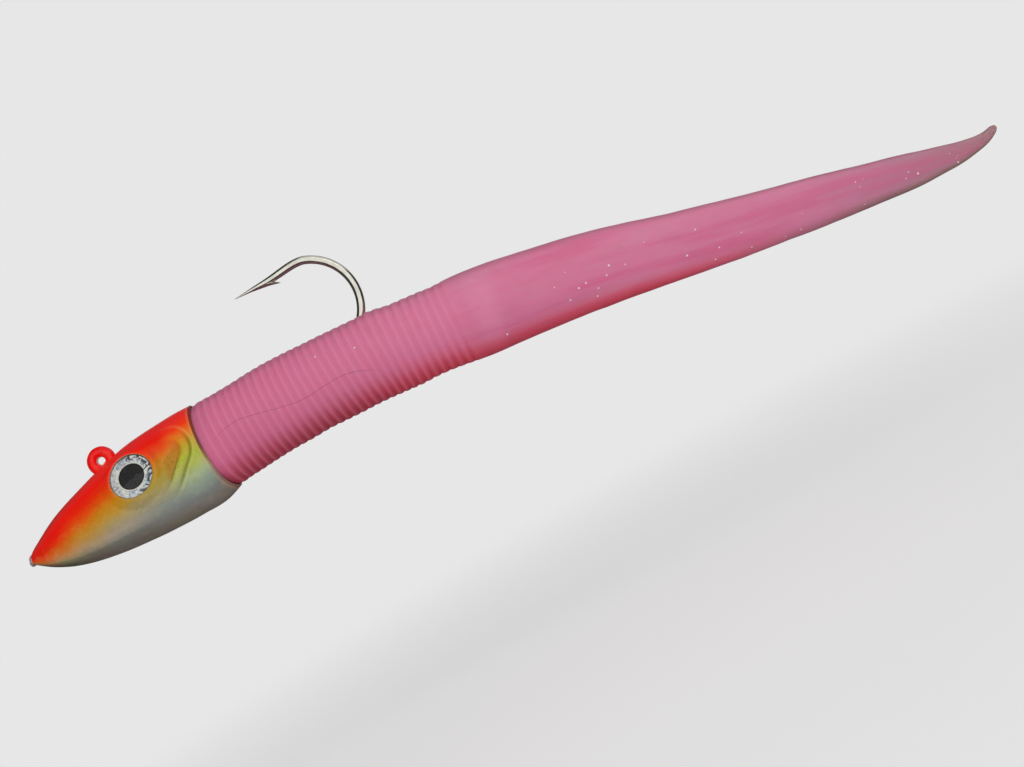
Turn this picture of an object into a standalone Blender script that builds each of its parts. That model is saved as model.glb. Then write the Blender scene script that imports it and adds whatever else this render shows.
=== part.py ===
"""A rigged sea-fishing jig: a painted lead fish head cast round a forged jig hook, two domed eyes,
and a ribbed soft eel body threaded on the hook, whose free end sweeps from side to side.

The frame: the origin is the centre of the line-tie ring, +X runs along the hook's shank towards the
tail, +Z towards the fish's back and +Y to its right side. The constants are in millimetres and
degrees, and the model is in metres.
"""

import math

import bmesh
import bpy
import numpy as np
from mathutils import Matrix, Vector

MM = 0.001
GAP = 0.3  # left between pieces that touch
EYE_GAP = 0.15  # the same, inside an eye
REACH = 60.0  # longer than any cut has to be

# Hook: one wire, from the line-tie ring through the head and the soft body to the barbed point.
WIRE_R = 1.2
RING_R = 2.6  # to the middle of the wire
SHANK_Z = -6.6
LEG_BEND_R = 3.2
BEND_R = 14.1
BEND_X = 72.7
BEND_END = 70.0  # degrees past the bend's middle, where the wire runs out into the point
POINT = (  # x, z and the share of WIRE_R
    (75.4, 21.1, 1.0),
    (73.0, 21.1, 1.0),
    (70.0, 20.85, 0.96),
    (66.5, 20.6, 0.84),
    (62.0, 20.68, 0.54),
    (58.0, 20.75, 0.25),
    (55.4, 20.8, 0.06),
)
BARB = ((63.0, 20.45, 0.5), (66.3, 19.5, 0.5), (68.9, 18.4, 0.12))  # x, z, radius

# Head: each row is x, top z, bottom z and half width.
HEAD_ROWS = (
    (-31.5, -14.8, -14.8, 0.0),
    (-29.0, -12.0, -17.6, 2.8),
    (-26.0, -10.35, -19.6, 4.4),
    (-20.0, -7.35, -22.5, 6.7),
    (-12.0, -4.6, -24.75, 8.8),
    (-2.0, -1.8, -26.15, 10.4),
    (8.0, 0.35, -27.0, 11.2),
    (18.0, 1.15, -27.4, 11.5),
    (26.0, 1.3, -26.9, 11.4),
    (29.5, 1.05, -25.6, 11.1),
)
HEAD_WAIST = 0.42  # where the head is widest, as a share of its height
HEAD_TOP_POWER = 1.85
HEAD_BOTTOM_POWER = 2.2
HEAD_RIM = 0.6  # chamfer round the rear face
NOSE_CROWDING = 1.6  # above 1, the sections stand closer together towards the nose
CUP = 0.9  # how far the head's rear face is hollowed at its middle
CUP_Z = -12.0
CUP_HALF = 13.5
CUP_LENGTH = 9.0

# Keeper: the lead spigot with barbs behind the head that the soft body is pushed over.
KEEPER_R = 4.0
KEEPER_END_R = 3.2
KEEPER_BARB_R = 5.0
KEEPER_LENGTH = 17.0
KEEPER_ROOT = 4.0  # how deep it starts inside the head
KEEPER_BARBS = 3
KEEPER_FIRST_BARB = 1.2  # from the spigot's end
KEEPER_BARB_STEP = 0.2
KEEPER_BARB_PITCH = 4.6
KEEPER_BARB_LENGTH = 3.4

# Eyes: a foil disc and a clear dome in a round socket on each cheek.
EYE_X = 7.6
EYE_Z = -8.4
EYE_R = 6.4
EYE_TILT = 22.0  # degrees that the eye looks up
EYE_RECESS = 2.1
FOIL_THICKNESS = 0.35
LENS_EDGE = 0.3
LENS_DOME = 1.3

# Soft body: each row is x, z of the centre line, half height and half width.
BODY_ROWS = (
    (29.8, -11.75, 12.8, 10.7),
    (48.0, -11.75, 12.75, 10.7),
    (66.0, -12.05, 12.45, 10.7),
    (84.0, -13.4, 12.3, 10.6),
    (102.0, -15.55, 12.1, 10.3),
    (120.0, -17.95, 12.2, 9.6),
    (138.0, -21.0, 11.4, 8.5),
    (156.0, -24.8, 10.5, 7.2),
    (174.0, -29.3, 9.3, 5.9),
    (192.0, -33.45, 8.35, 4.8),
    (210.0, -37.3, 7.35, 3.8),
    (228.0, -41.05, 6.05, 3.0),
    (244.0, -44.25, 4.35, 2.2),
    (256.0, -45.9, 2.5, 1.6),
    (262.4, -45.6, 1.45, 1.25),
    (266.1, -44.35, 0.8, 0.8),
)
BODY_POWER = 2.15

# Flex joints of the soft body: x of the pivot, and the most that it bends each way.
FLEX_X = 97.0
FLEX_RANGE = 25.0
SWEEP_X = 165.0
SWEEP_RANGE = 40.0
SECTOR_SPARE = 2.0  # degrees kept free past each limit
KNUCKLE_INSET = 0.1  # how much smaller a knuckle's radius is than the body's half width
OVERRUN = 4.0  # how far a piece runs past its knuckle before the knuckle is cut
SETBACK = 1.5  # how far past a pivot the next piece starts before it is hollowed
TIP_DOME = 0.4

ROUND = 32  # sides of the lofted pieces
WIRE_SIDES = 12


class Curve:
    """A smooth curve through rows of numbers, with one knot for each row."""

    def __init__(self, knots, rows):
        self.knots = np.array(knots, float)
        self.rows = np.array(rows, float)
        chords = np.diff(self.rows, axis=0) / np.diff(self.knots)[:, None]
        steps = np.diff(self.knots)[:, None]
        inner = (chords[:-1] * steps[1:] + chords[1:] * steps[:-1]) / (steps[1:] + steps[:-1])
        self.slopes = np.vstack([chords[:1], inner, chords[-1:]])

    def at(self, knot):
        i = int(np.clip(np.searchsorted(self.knots, knot) - 1, 0, len(self.knots) - 2))
        step = self.knots[i + 1] - self.knots[i]
        t = (knot - self.knots[i]) / step
        return (
            self.rows[i] * (2 * t**3 - 3 * t**2 + 1)
            + self.slopes[i] * step * (t**3 - 2 * t**2 + t)
            + self.rows[i + 1] * (3 * t**2 - 2 * t**3)
            + self.slopes[i + 1] * step * (t**3 - t**2)
        )


def clear_scene():
    for obj in list(bpy.data.objects):
        bpy.data.objects.remove(obj)


def collection(name):
    made = bpy.data.collections.new(name)
    bpy.context.scene.collection.children.link(made)
    return made


def material(name, colour, roughness, metallic=0.0, alpha=1.0):
    made = bpy.data.materials.new(name)
    made.use_nodes = True
    shader = made.node_tree.nodes["Principled BSDF"]
    shader.inputs["Base Color"].default_value = (*colour, 1.0)
    shader.inputs["Roughness"].default_value = roughness
    shader.inputs["Metallic"].default_value = metallic
    shader.inputs["Alpha"].default_value = alpha
    return made


def add_object(name, mesh, finish=None):
    """A node of the object, or a cutter where no material is given."""
    obj = bpy.data.objects.new(name, mesh)
    if finish is None:
        obj.hide_render = True
        obj.display_type = "WIRE"
        cutters.objects.link(obj)
    else:
        mesh.materials.clear()
        mesh.materials.append(finish)
        jig.objects.link(obj)
    return obj


def mesh_from(name, working):
    mesh = bpy.data.meshes.new(name)
    working.to_mesh(mesh)
    working.free()
    return mesh


def shade(mesh):
    mesh.shade_smooth()
    mesh.set_sharp_from_angle(angle=math.radians(35))


def boolean(target, tool, operation):
    modifier = target.modifiers.new(tool.name, "BOOLEAN")
    modifier.operation = operation
    modifier.solver = "EXACT"
    modifier.object = tool


def loft(name, rings, start_pole=None, end_pole=None):
    """A closed skin over rings of points, each end closed by a pole point or by a flat cap."""
    working = bmesh.new()
    made = [[working.verts.new(Vector(p) * MM) for p in ring] for ring in rings]
    for a, b in zip(made, made[1:]):
        for i in range(len(a)):
            j = (i + 1) % len(a)
            working.faces.new((a[i], a[j], b[j], b[i]))
    for ring, pole in ((made[0], start_pole), (made[-1], end_pole)):
        if pole is None:
            working.faces.new(ring)
            continue
        tip = working.verts.new(Vector(pole) * MM)
        for i in range(len(ring)):
            working.faces.new((ring[i], ring[(i + 1) % len(ring)], tip))
    bmesh.ops.recalc_face_normals(working, faces=working.faces)
    mesh = mesh_from(name, working)
    shade(mesh)
    return mesh


def turned(name, profile, sides, matrix, finish=None):
    """A solid turned about its own Z from a profile of (radius, z) that runs from top to bottom."""
    mesh = bpy.data.meshes.new(name)
    points = [(r * MM, 0.0, z * MM) for r, z in profile]
    mesh.from_pydata(points, [(i, i + 1) for i in range(len(points) - 1)], [])
    obj = add_object(name, mesh, finish)
    screw = obj.modifiers.new("Turn", "SCREW")
    screw.steps = screw.render_steps = sides
    screw.use_merge_vertices = True
    screw.merge_threshold = 1e-6
    screw.use_smooth_shade = True
    obj.matrix_world = matrix
    return obj


def tube_mesh(name, path, sides=WIRE_SIDES):
    """A round rod along (x, z, radius) points in the plane y = 0."""
    data = bpy.data.curves.new(name, "CURVE")
    data.dimensions = "3D"
    data.bevel_depth = MM
    data.bevel_resolution = sides // 2 - 2
    data.use_fill_caps = True
    spline = data.splines.new("POLY")
    spline.points.add(len(path) - 1)
    for point, (x, z, radius) in zip(spline.points, path):
        point.co = (x * MM, 0.0, z * MM, 1.0)
        point.radius = radius
    guide = bpy.data.objects.new(name, data)
    cutters.objects.link(guide)
    graph = bpy.context.evaluated_depsgraph_get()
    mesh = bpy.data.meshes.new_from_object(guide.evaluated_get(graph))
    bpy.data.objects.remove(guide)
    weld(mesh)
    return mesh


def weld(mesh):
    working = bmesh.new()
    working.from_mesh(mesh)
    bmesh.ops.remove_doubles(working, verts=working.verts, dist=1e-6)
    bmesh.ops.recalc_face_normals(working, faces=working.faces)
    working.to_mesh(mesh)
    working.free()
    shade(mesh)


def prism(name, outline, matrix):
    """A cutter: a flat outline of (x, y) in millimetres, made REACH thick along its own Z."""
    data = bpy.data.curves.new(name, "CURVE")
    data.dimensions = "2D"
    data.fill_mode = "BOTH"
    data.extrude = REACH / 2 * MM
    spline = data.splines.new("POLY")
    spline.points.add(len(outline) - 1)
    for point, (x, y) in zip(spline.points, outline):
        point.co = (x * MM, y * MM, 0.0, 1.0)
    spline.use_cyclic_u = True
    guide = bpy.data.objects.new(name, data)
    cutters.objects.link(guide)
    graph = bpy.context.evaluated_depsgraph_get()
    mesh = bpy.data.meshes.new_from_object(guide.evaluated_get(graph))
    bpy.data.objects.remove(guide)
    weld(mesh)
    obj = add_object(name, mesh)
    obj.matrix_world = matrix
    return obj


def arc(centre, radius, start, end, steps):
    """Points (x, z) on a circle, from one angle to another, in degrees from +X towards +Z."""
    angles = [math.radians(start + (end - start) * i / steps) for i in range(steps + 1)]
    return [(centre[0] + radius * math.cos(a), centre[1] + radius * math.sin(a)) for a in angles]


def superellipse(angle, power):
    """A point on the unit curve |y|^power + |z|^power = 1."""
    c, s = math.cos(angle), math.sin(angle)
    share = 2.0 / power
    return math.copysign(abs(c) ** share, c), math.copysign(abs(s) ** share, s)


# ---------------------------------------------------------------- hook


def hook_path(extra=0.0):
    """The wire from the ring to the tip, as (x, z, radius), thickened by extra for a cutter."""
    leg = [(0.0, -RING_R), (0.0, SHANK_Z + LEG_BEND_R)]
    corner = arc((LEG_BEND_R, SHANK_Z + LEG_BEND_R), LEG_BEND_R, 180, 270, 8)[1:]
    shank = [(x, SHANK_Z) for x in (15.0, 30.0, 45.0, 60.0)]
    bend = arc((BEND_X, SHANK_Z + BEND_R), BEND_R, -90, BEND_END, 28)
    path = [(x, z, WIRE_R + extra) for x, z in leg + corner + shank + bend]
    return path + [(x, z, WIRE_R * share + extra) for x, z, share in POINT]


def ring_mesh(name, extra=0.0):
    bpy.ops.mesh.primitive_torus_add(
        major_segments=32,
        minor_segments=WIRE_SIDES,
        major_radius=RING_R * MM,
        minor_radius=(WIRE_R + extra) * MM,
        rotation=(math.pi / 2, 0.0, 0.0),
    )
    made = bpy.context.object
    mesh = made.data
    mesh.transform(made.matrix_world)
    bpy.data.objects.remove(made)
    mesh.name = name
    return mesh


def make_hook(finish):
    hook = add_object("jig_hook", tube_mesh("jig_hook", hook_path()), finish)
    boolean(hook, add_object("cutter_ring", ring_mesh("ring")), "UNION")
    boolean(hook, add_object("cutter_barb", tube_mesh("barb", BARB)), "UNION")
    return hook


# ---------------------------------------------------------------- head

head_curve = Curve(
    [math.sqrt(row[0] - HEAD_ROWS[0][0]) for row in HEAD_ROWS],
    [row[1:] for row in HEAD_ROWS],
)


def head_section(x):
    """The head's top z, bottom z, half width and the height where it is widest, at x."""
    top, bottom, half_width = head_curve.at(math.sqrt(max(x - HEAD_ROWS[0][0], 0.0)))
    return top, bottom, half_width, bottom + HEAD_WAIST * (top - bottom)


def cup_shift(z, distance):
    """How far forward of its edges the head's rear face is at z, fading out away from the face."""
    fade = min(max(1 - distance / CUP_LENGTH, 0.0), 1.0) ** 2
    return CUP * max(1 - ((z - CUP_Z) / CUP_HALF) ** 2, 0.0) * fade


def head_ring(x, inset=0.0):
    top, bottom, half_width, waist = head_section(x)
    top, bottom, half_width = top - inset, bottom + inset, half_width - inset
    ring = []
    for i in range(ROUND):
        angle = 2 * math.pi * i / ROUND
        upper = angle < math.pi
        y, z = superellipse(angle, HEAD_TOP_POWER if upper else HEAD_BOTTOM_POWER)
        height = waist + z * ((top - waist) if upper else (waist - bottom))
        ring.append((x - cup_shift(height, HEAD_ROWS[-1][0] - x), y * half_width, height))
    return ring


def head_side(x, z):
    """The head's half width at the height z, above its widest line."""
    top, _, half_width, waist = head_section(x)
    share = (z - waist) / (top - waist)
    return half_width * (1 - share**HEAD_TOP_POWER) ** (1 / HEAD_TOP_POWER)


def eye_matrix(side):
    """The place of an eye's socket floor, with its own Z pointing out; side is -1 left, 1 right."""
    tilt = math.radians(EYE_TILT)
    out = Vector((0.0, side * math.cos(tilt), math.sin(tilt)))
    place = Vector((EYE_X, side * head_side(EYE_X, EYE_Z), EYE_Z)) - out * EYE_RECESS
    return Matrix.Translation(place * MM) @ out.to_track_quat("Z", "Y").to_matrix().to_4x4()


def along_x(x, z):
    """A turned piece's Z laid along +X, starting at x, z."""
    return Matrix.Translation(Vector((x, 0.0, z)) * MM) @ Matrix.Rotation(math.pi / 2, 4, "Y")


def keeper_profile():
    """Radius and length of the spigot, from its far end to its root inside the head."""
    profile = [(0.0, KEEPER_LENGTH), (KEEPER_END_R, KEEPER_LENGTH)]
    for i in range(KEEPER_BARBS):
        end = KEEPER_LENGTH - KEEPER_FIRST_BARB - i * KEEPER_BARB_PITCH
        edge = end - KEEPER_BARB_LENGTH
        profile += [(KEEPER_R, end), (KEEPER_BARB_R, edge), (KEEPER_R, edge - KEEPER_BARB_STEP)]
    return profile + [(KEEPER_R, -KEEPER_ROOT), (0.0, -KEEPER_ROOT)]


def make_head(finish, hook_cutter, ring_cutter):
    nose, rear = HEAD_ROWS[0][0], HEAD_ROWS[-1][0]
    steps = 30
    stations = [nose + (rear - HEAD_RIM - nose) * (i / steps) ** NOSE_CROWDING for i in range(1, steps + 1)]
    rings = [head_ring(x) for x in stations] + [head_ring(rear, HEAD_RIM)]
    skin = loft("head_casting", rings, start_pole=(nose, 0.0, HEAD_ROWS[0][1]))
    head = add_object("head_casting", skin, finish)
    boolean(head, turned("cutter_keeper", keeper_profile(), 24, along_x(rear, SHANK_Z)), "UNION")
    for side, name in ((-1, "left"), (1, "right")):
        top = 2 * EYE_RECESS
        socket = [(0.0, top), (EYE_R + GAP, top), (EYE_R + GAP, 0.0), (0.0, 0.0)]
        boolean(head, turned(f"cutter_{name}_socket", socket, 40, eye_matrix(side)), "DIFFERENCE")
    boolean(head, hook_cutter, "DIFFERENCE")
    boolean(head, ring_cutter, "DIFFERENCE")
    return head


def make_eye(side, name, foil_finish, lens_finish):
    base = EYE_GAP
    foil = [(0.0, base + FOIL_THICKNESS), (EYE_R, base + FOIL_THICKNESS), (EYE_R, base), (0.0, base)]
    turned(f"{name}_eye_foil", foil, 40, eye_matrix(side), foil_finish)
    base += FOIL_THICKNESS + EYE_GAP
    dome_radius = (EYE_R**2 + LENS_DOME**2) / (2 * LENS_DOME)
    centre = base + LENS_EDGE + LENS_DOME - dome_radius
    lens = []
    for i in range(7):
        angle = math.asin(EYE_R / dome_radius) * i / 6
        lens.append((dome_radius * math.sin(angle), centre + dome_radius * math.cos(angle)))
    lens += [(EYE_R, base), (0.0, base)]
    turned(f"{name}_eye_lens", lens, 40, eye_matrix(side), lens_finish)


# ---------------------------------------------------------------- soft body

body_lengths = np.concatenate(
    [[0.0], np.cumsum(np.hypot(*np.diff(np.array(BODY_ROWS)[:, :2], axis=0).T))]
)
body_curve = Curve(body_lengths, BODY_ROWS)


def body_length_at(x):
    """The length along the soft body's centre line where it passes x."""
    return float(np.interp(x, [row[0] for row in BODY_ROWS], body_lengths))


def body_frame(length):
    """The centre, the direction and the upward normal of the soft body at a length along it."""
    x, z, _, _ = body_curve.at(length)
    step = 0.01
    ahead, behind = body_curve.at(length + step), body_curve.at(length - step)
    along = Vector((ahead[0] - behind[0], 0.0, ahead[1] - behind[1])).normalized()
    return Vector((x, 0.0, z)), along, Vector((-along.z, 0.0, along.x))


def body_ring(length):
    centre, along, up = body_frame(length)
    _, _, half_height, half_width = body_curve.at(length)
    ring = []
    for i in range(ROUND):
        y, z = superellipse(2 * math.pi * i / ROUND, BODY_POWER)
        point = centre + up * (z * half_height) + Vector((0.0, y * half_width, 0.0))
        ring.append(point - along * cup_shift(point.z, length))
    return ring


def body_piece(name, start, end, steps, finish, tip=False):
    """One length of the soft body, from start to end along its centre line."""
    lengths = [start + (end - start) * i / steps for i in range(steps + 1)]
    pole = None
    if tip:
        centre, along, _ = body_frame(end)
        pole = centre + along * TIP_DOME
    return add_object(name, loft(name, [body_ring(s) for s in lengths], end_pole=pole), finish)


def pivot_matrix(x):
    """The place of a flex joint: its own X along the body, and its Z along the pivot's axis."""
    centre, along, up = body_frame(body_length_at(x))
    across = up.cross(along)
    turn = Matrix((along, across, up)).transposed().to_4x4()
    return Matrix.Translation(centre * MM) @ turn


def knuckle_radius(x):
    return body_curve.at(body_length_at(x))[3] - KNUCKLE_INSET


def keep_before(piece, name, x):
    """Ends a piece at a pivot, in a round knuckle about the pivot's axis."""
    radius = knuckle_radius(x)
    outline = [(-2 * REACH, -REACH), (0.0, -REACH)]
    outline += arc((0.0, 0.0), radius, -90, 90, 24) + [(0.0, REACH), (-2 * REACH, REACH)]
    boolean(piece, prism(f"cutter_{name}_knuckle", outline, pivot_matrix(x)), "INTERSECT")


def keep_behind(piece, name, x, limit):
    """Starts a piece past a pivot, hollowed round the knuckle and cut back so that it can swing."""
    edge = 90 - limit - SECTOR_SPARE
    outline = arc((0.0, 0.0), knuckle_radius(x) + GAP, edge, -edge, 24)
    far = arc((0.0, 0.0), REACH, -edge, edge, 1)
    outline += [far[0], (3 * REACH, far[0][1]), (3 * REACH, far[1][1]), far[1]]
    boolean(piece, prism(f"cutter_{name}_socket", outline, pivot_matrix(x)), "INTERSECT")


def make_soft_body(finish, hook_cutter):
    flex, sweep = body_length_at(FLEX_X), body_length_at(SWEEP_X)
    flex_end = flex + knuckle_radius(FLEX_X) + OVERRUN
    sweep_end = sweep + knuckle_radius(SWEEP_X) + OVERRUN
    front = body_piece("soft_body_front", 0.0, flex_end, 24, finish)
    keep_before(front, "flex", FLEX_X)
    bore = KEEPER_BARB_R + GAP
    end = KEEPER_LENGTH + GAP
    sleeve = [(0.0, end), (bore, end), (bore, -end), (0.0, -end)]
    rear = HEAD_ROWS[-1][0]
    boolean(front, turned("cutter_keeper_bore", sleeve, 24, along_x(rear, SHANK_Z)), "DIFFERENCE")
    boolean(front, hook_cutter, "DIFFERENCE")

    base = body_piece("soft_tail_base", flex + SETBACK, sweep_end, 20, finish)
    keep_behind(base, "flex", FLEX_X, FLEX_RANGE)
    keep_before(base, "sweep", SWEEP_X)

    tail = body_piece("soft_tail_end", sweep + SETBACK, body_lengths[-1], 28, finish, tip=True)
    keep_behind(tail, "sweep", SWEEP_X, SWEEP_RANGE)


# ---------------------------------------------------------------- the whole jig


def main():
    lead_paint = material("head_paint", (0.86, 0.10, 0.02), 0.25)
    tinned_steel = material("hook_steel", (0.78, 0.75, 0.70), 0.3, metallic=1.0)
    foil = material("eye_foil", (0.75, 0.78, 0.82), 0.2, metallic=0.9)
    resin = material("eye_lens", (0.95, 0.95, 0.95), 0.05, alpha=0.35)
    soft_plastic = material("soft_plastic", (0.72, 0.16, 0.28), 0.4)

    make_hook(tinned_steel)
    hook_cutter = add_object("cutter_hook", tube_mesh("cutter_hook", hook_path(GAP)))
    ring_cutter = add_object("cutter_ring_seat", ring_mesh("ring_seat", GAP))
    make_head(lead_paint, hook_cutter, ring_cutter)
    make_eye(-1, "left", foil, resin)
    make_eye(1, "right", foil, resin)
    make_soft_body(soft_plastic, hook_cutter)


clear_scene()
jig = collection("jig")
cutters = collection("cutters")
main()
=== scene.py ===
"""The looks of the rigged jig head: painted lead head, jig hook, holographic eyes and soft eel body.

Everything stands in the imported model's frame: the origin is the centre of the line-tie ring, +X runs
along the hook's shank towards the tail, +Z towards the lure's back and +Y to its right side. The outlines
of the head, the hook and the eel are those of the CAD solids, in millimetres. The gill covers, eye seats,
ribs and lumps are added here. "length" is measured along the eel's centre line from the head's rear face.
"""

import math
import random

import bmesh
import bpy
import numpy as np
from mathutils import Matrix, Vector, noise


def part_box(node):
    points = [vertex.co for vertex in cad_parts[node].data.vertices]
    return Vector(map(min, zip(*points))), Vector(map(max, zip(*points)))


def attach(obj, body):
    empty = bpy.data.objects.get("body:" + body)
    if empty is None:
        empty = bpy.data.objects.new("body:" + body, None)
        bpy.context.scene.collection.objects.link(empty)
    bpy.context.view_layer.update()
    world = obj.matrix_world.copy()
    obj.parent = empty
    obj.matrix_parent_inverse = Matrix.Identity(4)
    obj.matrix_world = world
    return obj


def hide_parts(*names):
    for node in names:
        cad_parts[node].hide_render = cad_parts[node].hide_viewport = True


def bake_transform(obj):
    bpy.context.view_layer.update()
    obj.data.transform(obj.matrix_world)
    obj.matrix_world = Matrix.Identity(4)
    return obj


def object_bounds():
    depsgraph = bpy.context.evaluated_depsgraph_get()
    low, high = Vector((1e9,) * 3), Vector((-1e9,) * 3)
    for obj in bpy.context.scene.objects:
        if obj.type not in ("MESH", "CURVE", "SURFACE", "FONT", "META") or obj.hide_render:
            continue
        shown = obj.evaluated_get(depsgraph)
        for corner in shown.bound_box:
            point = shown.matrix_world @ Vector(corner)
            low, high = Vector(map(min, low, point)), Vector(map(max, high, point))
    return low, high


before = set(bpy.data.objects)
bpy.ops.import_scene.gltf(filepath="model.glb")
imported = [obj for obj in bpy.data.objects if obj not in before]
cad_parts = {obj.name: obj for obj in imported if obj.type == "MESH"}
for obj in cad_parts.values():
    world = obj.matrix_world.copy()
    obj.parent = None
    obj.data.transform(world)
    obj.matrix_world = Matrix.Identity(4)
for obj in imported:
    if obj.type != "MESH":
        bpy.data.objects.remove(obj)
cad_low, cad_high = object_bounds()
cad_middle = (cad_low + cad_high) / 2

MM = 0.001
LEFT, RIGHT = -1, 1  # the sign of y on each side

# ---------------- outlines, as in the CAD

HEAD_ROWS = (  # x, top z, bottom z, half width
    (-31.5, -14.8, -14.8, 0.0),
    (-29.0, -12.0, -17.6, 2.8),
    (-26.0, -10.35, -19.6, 4.4),
    (-20.0, -7.35, -22.5, 6.7),
    (-12.0, -4.6, -24.75, 8.8),
    (-2.0, -1.8, -26.15, 10.4),
    (8.0, 0.35, -27.0, 11.2),
    (18.0, 1.15, -27.4, 11.5),
    (26.0, 1.3, -26.9, 11.4),
    (29.5, 1.05, -25.6, 11.1),
)
HEAD_WAIST = 0.42  # where the head is widest, as a share of its height
HEAD_TOP_POWER = 1.85
HEAD_BOTTOM_POWER = 2.2
NOSE, REAR = HEAD_ROWS[0][0], HEAD_ROWS[-1][0]

BODY_ROWS = (  # x, z of the centre line, half height, half width
    (29.8, -11.75, 12.8, 10.7),
    (48.0, -11.75, 12.75, 10.7),
    (66.0, -12.05, 12.45, 10.7),
    (84.0, -13.4, 12.3, 10.6),
    (102.0, -15.55, 12.1, 10.3),
    (120.0, -17.95, 12.2, 9.6),
    (138.0, -21.0, 11.4, 8.5),
    (156.0, -24.8, 10.5, 7.2),
    (174.0, -29.3, 9.3, 5.9),
    (192.0, -33.45, 8.35, 4.8),
    (210.0, -37.3, 7.35, 3.8),
    (228.0, -41.05, 6.05, 3.0),
    (244.0, -44.25, 4.35, 2.2),
    (256.0, -45.9, 2.5, 1.6),
    (262.4, -45.6, 1.45, 1.25),
    (266.1, -44.35, 0.8, 0.8),
)
BODY_POWER = 2.15

WIRE_R = 1.2
RING_R = 2.6
RING_COAT = 0.34  # the paint on the ring's wire
RING_HOLE_R = 1.0  # what the paint leaves open
SHANK_Z = -6.6
BEND_R = 14.1
BEND_X = 72.7
BEND_END = 70.0
POINT = (  # x, z, share of WIRE_R
    (75.4, 21.1, 1.0),
    (73.0, 21.1, 1.0),
    (70.0, 20.85, 0.96),
    (66.5, 20.6, 0.84),
    (62.0, 20.68, 0.54),
    (58.0, 20.75, 0.25),
    (55.4, 20.8, 0.06),
)

# ---------------- numbers of the looks

CUP = 0.9  # how far the head's rear face is hollowed at its middle
CUP_Z = -12.0
CUP_HALF = 13.5
CUP_LENGTH = 9.0
HEEL = 0.8  # how far the belly's rear corner reaches back
HEEL_Z = -20.0
HEEL_DEPTH = 5.0
CHINE = 0.185  # height of the snout's lower edge, as a share of the head's
CHINE_WIDTH = 0.93
CHINE_SHARPNESS = 0.6

FIRST_GROOVE = 1.2
LAST_GROOVE = 77.0
GROOVES = 32  # how many pitches lie between them
RIB_SWAY = 0.6  # the ribs lie a little closer towards the head
RIB_LEAN = 1.3  # how far a rib leans over half the body's height, at most
RIB_DEPTH = 0.28
SEAM = 86.0  # where the ribbed body's mesh ends and the tail's begins
TAIL_POWER = 2.7  # the smooth tail's sections are squarer than the body's
TIP_LENGTH = 3.0  # the tail's last part, where its rings lie closer
TIP_ROUND = 1.4  # how much of it is rounded off

BODY_TUCK = 0.3  # how much smaller than the head's rear the body's front end is
TUCK_LENGTH = 6.0

EYE_TILT = 22.0
EYE_R = 6.25
SOCKET_R = 6.34
SEAT_HEIGHT = 1.25  # the flat that the socket is cut in, above the middle of the CAD's foil
SEAT_R = 6.9
SEAT_BLEND = 2.6
FOIL_HEIGHT = 0.92
LENS_EDGE = 0.34
LENS_DOME = 0.55
PUPIL_R = 3.8
IRIS_EDGE = 6.16


class Curve:
    """A smooth curve through rows of numbers, with one knot for each row."""

    def __init__(self, knots, rows):
        self.knots = np.array(knots, float)
        self.rows = np.array(rows, float)
        chords = np.diff(self.rows, axis=0) / np.diff(self.knots)[:, None]
        steps = np.diff(self.knots)[:, None]
        inner = (chords[:-1] * steps[1:] + chords[1:] * steps[:-1]) / (steps[1:] + steps[:-1])
        self.slopes = np.vstack([chords[:1], inner, chords[-1:]])

    def at(self, knot):
        i = int(np.clip(np.searchsorted(self.knots, knot) - 1, 0, len(self.knots) - 2))
        step = self.knots[i + 1] - self.knots[i]
        t = (knot - self.knots[i]) / step
        return (
            self.rows[i] * (2 * t**3 - 3 * t**2 + 1)
            + self.slopes[i] * step * (t**3 - 2 * t**2 + t)
            + self.rows[i + 1] * (3 * t**2 - 2 * t**3)
            + self.slopes[i + 1] * step * (t**3 - t**2)
        )


def smooth(value, low, high):
    """0 below low, 1 above high and a smooth step between."""
    t = np.clip((value - low) / (high - low), 0.0, 1.0)
    return t * t * (3 - 2 * t)


def full_turn(count):
    """Even angles once round."""
    return np.linspace(0, 2 * np.pi, count, endpoint=False)


def superellipse(angle, power):
    c, s = np.cos(angle), np.sin(angle)
    return np.sign(c) * np.abs(c) ** (2 / power), np.sign(s) * np.abs(s) ** (2 / power)


def lumps(points, size, seed):
    """A soft random value for each point, between about -1 and 1, with features of that size."""
    shift = Vector((seed * 13.7, seed * 5.1, seed * 9.3))
    return np.array([noise.noise(Vector(p) / size + shift) for p in points]) * 2


# ---------------- meshes


def quads(start, end, around):
    """The faces between two rings of a mesh, given by their first points."""
    return [(start + i, start + (i + 1) % around, end + (i + 1) % around, end + i) for i in range(around)]


def skin(name, rings, attributes=None):
    """A closed quad skin over rings of points in millimetres, with a fan at each end.

    attributes holds arrays with one row for each ring point, or None.
    """
    count, around, _ = rings.shape
    points = np.vstack([rings.reshape(-1, 3), rings[0].mean(0), rings[-1].mean(0)])
    start, end = count * around, count * around + 1
    faces = []
    for ring in range(count - 1):
        faces += quads(ring * around, (ring + 1) * around, around)
    last = (count - 1) * around
    for i in range(around):
        j = (i + 1) % around
        faces.append((start, j, i))
        faces.append((end, last + i, last + j))
    mesh = bpy.data.meshes.new(name)
    mesh.from_pydata((points * MM).tolist(), [], faces)
    for key, values in (attributes or {}).items():
        values = values.reshape(count, around, -1)
        poles = np.array([values[0].mean(0), values[-1].mean(0)])
        flat = np.vstack([values.reshape(count * around, -1), poles]).astype(np.float32)
        if flat.shape[1] == 1:
            mesh.attributes.new(key, "FLOAT", "POINT").data.foreach_set("value", flat.ravel())
        else:
            mesh.attributes.new(key, "FLOAT_VECTOR", "POINT").data.foreach_set("vector", flat.ravel())
    return finish_mesh(mesh)


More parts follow.
